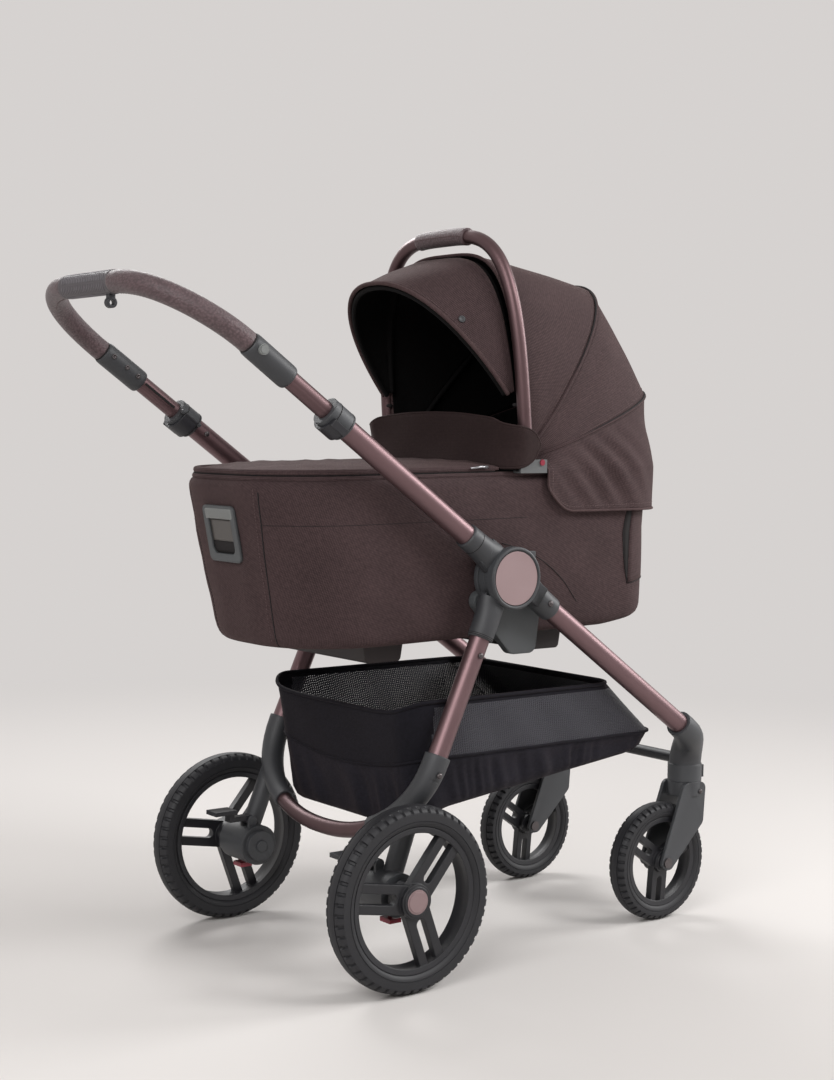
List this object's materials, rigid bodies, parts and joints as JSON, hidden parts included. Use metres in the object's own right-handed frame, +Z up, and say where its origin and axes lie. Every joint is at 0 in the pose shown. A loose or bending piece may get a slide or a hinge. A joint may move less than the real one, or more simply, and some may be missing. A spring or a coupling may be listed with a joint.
{
  "type": "bassinet pram",
  "caption": "Folding tube chassis on swivel front wheels with a telescopic handle, lift-off padded bassinet, folding hood and storage basket.",
  "frame": {"origin": "floor level, midway between the handlebar's back and the front wheels' front, on the pram's middle plane", "axes": "+X forward in the direction of travel, +Y to the pram's left, +Z up"},
  "size_m": [1.1295, 0.5752, 1.1943],
  "materials": {
    "bronze_tube": "satin",
    "bronze_cover": "satin",
    "charcoal_plastic": "matte",
    "black_plastic": "matte",
    "grey_plastic": "matte",
    "red_plastic": "gloss",
    "steel": "brushed",
    "tyre_rubber": "matte",
    "brown_fabric": "woven",
    "dark_fabric": "woven",
    "pale_fabric": "knitted",
    "brown_leather": "grained",
    "grey_grip": "textured"
  },
  "bodies": {
    "chassis": {"front_leg_tubes": "bronze_tube", "hub_housings": "charcoal_plastic", "hub_covers": "bronze_cover", "fold_pivot_pins": "steel", "front_elbows": "charcoal_plastic", "front_crossbar": "black_plastic", "bassinet_receivers": "charcoal_plastic", "storage_basket": "dark_fabric"},
    "handle_lower": {"handle_knuckles": "charcoal_plastic", "handle_tubes": "bronze_tube", "clamp_collars": "charcoal_plastic"},
    "handle_upper": {"handle_inner_tubes": "bronze_tube", "handle_sleeves": "charcoal_plastic", "handlebar_grip": "brown_leather", "centre_grip": "grey_grip", "strap_loop": "black_plastic"},
    "rear_legs": {"rear_leg_fittings": "charcoal_plastic", "rear_leg_tubes": "bronze_tube", "rear_cross_tube": "bronze_tube", "rear_axles": "steel"},
    "bassinet": {"bassinet_tub": "brown_fabric", "bassinet_adaptors": "charcoal_plastic", "bassinet_feet": "black_plastic", "end_bezel": "black_plastic", "mattress": "pale_fabric", "apron": "brown_fabric", "hood_pivots": "grey_plastic", "hood_skirt": "brown_fabric", "hood_rear_panel": "brown_fabric"},
    "wind_flap": {"wind_flap": "dark_fabric"},
    "hood_hoop": {"hood_main_panel": "brown_fabric"},
    "carry_bow": {"carry_bow": "bronze_tube", "bow_grip": "brown_leather"},
    "visor": {"visor": "brown_fabric"},
    "clamp_lever_left": {"clamp_lever_left": "black_plastic"},
    "handle_button_left": {"handle_button_left": "black_plastic"},
    "brake_pedal_left": {"brake_pedal_left": "black_plastic"},
    "wheel_release_left": {"wheel_release_left": "red_plastic"},
    "rear_wheel_left": {"rear_tyre_left": "tyre_rubber", "rear_rim_left": "black_plastic", "rear_hub_cap_left": "bronze_cover"},
    "caster_left": {"caster_fork_left": "charcoal_plastic", "front_axle_left": "steel"},
    "front_wheel_left": {"front_tyre_left": "tyre_rubber", "front_rim_left": "black_plastic"},
    "swivel_lock_left": {"swivel_lock_left": "black_plastic"},
    "hood_button_left": {"hood_button_left": "red_plastic"},
    "clamp_lever_right": {"clamp_lever_right": "black_plastic"},
    "handle_button_right": {"handle_button_right": "black_plastic"},
    "brake_pedal_right": {"brake_pedal_right": "black_plastic"},
    "wheel_release_right": {"wheel_release_right": "red_plastic"},
    "rear_wheel_right": {"rear_tyre_right": "tyre_rubber", "rear_rim_right": "black_plastic", "rear_hub_cap_right": "bronze_cover"},
    "caster_right": {"caster_fork_right": "charcoal_plastic", "front_axle_right": "steel"},
    "front_wheel_right": {"front_tyre_right": "tyre_rubber", "front_rim_right": "black_plastic"},
    "swivel_lock_right": {"swivel_lock_right": "black_plastic"},
    "hood_button_right": {"hood_button_right": "red_plastic"}
  },
  "joints": [
    {"name": "handle_fold", "type": "hinge", "parent": "chassis", "child": "handle_lower", "pos_m": [0.06925, 0, 0.624], "axis": [0, -1, 0], "range_deg": [-116, 0], "deforming": ["storage_basket"]},
    {"name": "rear_leg_fold", "type": "hinge", "parent": "chassis", "child": "rear_legs", "pos_m": [0.06925, 0, 0.624], "axis": [0, -1, 0], "range_deg": [0, 43.51]},
    {"name": "handle_telescope", "type": "slide", "parent": "handle_lower", "child": "handle_upper", "axis": [-0.8141, 0, 0.5807], "range_m": [-0.075, 0]},
    {"name": "clamp_lever_left", "type": "hinge", "parent": "handle_lower", "child": "clamp_lever_left", "pos_m": [-0.26478, 0.1972, 0.87208], "axis": [-0.8141, 0, 0.5807], "range_deg": [0, 100]},
    {"name": "handle_button_left", "type": "slide", "parent": "handle_upper", "child": "handle_button_left", "axis": [0, -1, 0], "range_m": [0, 0.003], "stiffness_N_per_m": 400},
    {"name": "wheel_release_left", "type": "slide", "parent": "rear_legs", "child": "wheel_release_left", "axis": [0, 0, 1], "range_m": [0, 0.003], "stiffness_N_per_m": 400},
    {"name": "rear_wheel_left", "type": "hinge", "parent": "rear_legs", "child": "rear_wheel_left", "pos_m": [-0.14875, 0.263, 0.145], "axis": [0, 1, 0], "continuous": true},
    {"name": "caster_left", "type": "hinge", "parent": "chassis", "child": "caster_left", "pos_m": [0.52725, 0.178, 0.2], "axis": [0, 0, 1], "continuous": true},
    {"name": "front_wheel_left", "type": "hinge", "parent": "caster_left", "child": "front_wheel_left", "pos_m": [0.46125, 0.178, 0.1035], "axis": [0, 1, 0], "continuous": true},
    {"name": "swivel_lock_left", "type": "slide", "parent": "chassis", "child": "swivel_lock_left", "axis": [0, 0, -1], "range_m": [0, 0.003]},
    {"name": "hood_button_left", "type": "slide", "parent": "bassinet", "child": "hood_button_left", "axis": [0, 1, 0], "range_m": [-0.003, 0], "stiffness_N_per_m": 400},
    {"name": "clamp_lever_right", "type": "hinge", "parent": "handle_lower", "child": "clamp_lever_right", "pos_m": [-0.26478, -0.1972, 0.87208], "axis": [0.8141, 0, -0.5807], "range_deg": [0, 100]},
    {"name": "handle_button_right", "type": "slide", "parent": "handle_upper", "child": "handle_button_right", "axis": [0, 1, 0], "range_m": [0, 0.003], "stiffness_N_per_m": 400},
    {"name": "wheel_release_right", "type": "slide", "parent": "rear_legs", "child": "wheel_release_right", "axis": [0, 0, 1], "range_m": [0, 0.003], "stiffness_N_per_m": 400},
    {"name": "rear_wheel_right", "type": "hinge", "parent": "rear_legs", "child": "rear_wheel_right", "pos_m": [-0.14875, -0.263, 0.145], "axis": [0, 1, 0], "continuous": true},
    {"name": "caster_right", "type": "hinge", "parent": "chassis", "child": "caster_right", "pos_m": [0.52725, -0.178, 0.2], "axis": [0, 0, 1], "continuous": true},
    {"name": "front_wheel_right", "type": "hinge", "parent": "caster_right", "child": "front_wheel_right", "pos_m": [0.46125, -0.178, 0.1035], "axis": [0, 1, 0], "continuous": true},
    {"name": "swivel_lock_right", "type": "slide", "parent": "chassis", "child": "swivel_lock_right", "axis": [0, 0, -1], "range_m": [0, 0.003]},
    {"name": "hood_button_right", "type": "slide", "parent": "bassinet", "child": "hood_button_right", "axis": [0, -1, 0], "range_m": [-0.003, 0], "stiffness_N_per_m": 400},
    {"name": "brake_pedal_left", "type": "hinge", "parent": "rear_legs", "child": "brake_pedal_left", "pos_m": [-0.15675, 0.1855, 0.1873], "axis": [0, -1, 0], "range_deg": [0, 18]},
    {"name": "brake_pedal_right", "type": "hinge", "parent": "rear_legs", "child": "brake_pedal_right", "pos_m": [-0.15675, -0.1855, 0.1873], "axis": [0, -1, 0], "range_deg": [0, 18.01]},
    {"name": "bassinet_lift", "type": "slide", "parent": "chassis", "child": "bassinet", "axis": [0, 0, 1], "range_m": [0, 0.25]},
    {"name": "wind_flap", "type": "hinge", "parent": "bassinet", "child": "wind_flap", "pos_m": [0.08905, 0, 0.8085], "axis": [0, -1, 0], "range_deg": [0, 60]},
    {"name": "hood_fold", "type": "hinge", "parent": "bassinet", "child": "hood_hoop", "pos_m": [0.13925, 0, 0.806], "axis": [0, 1, 0], "range_deg": [0, 16], "deforming": ["hood_rear_panel", "hood_main_panel"]},
    {"name": "bow_fold", "type": "hinge", "parent": "hood_hoop", "child": "carry_bow", "pos_m": [0.13925, 0, 0.806], "axis": [0, 1, 0], "range_deg": [0, 28.8]},
    {"name": "visor_fold", "type": "hinge", "parent": "carry_bow", "child": "visor", "pos_m": [0.12589, 0, 0.89924], "axis": [0, 1, 0], "range_deg": [0, 20.4], "deforming": ["visor"]}
  ],
  "couplings": [
    {"joint": "rear_leg_fold", "follows": "handle_fold", "ratio": -0.375},
    {"joint": "brake_pedal_right", "follows": "brake_pedal_left", "ratio": 1},
    {"joint": "bow_fold", "follows": "hood_fold", "ratio": 1.7955},
    {"joint": "visor_fold", "follows": "hood_fold", "ratio": 1.2727}
  ]
}
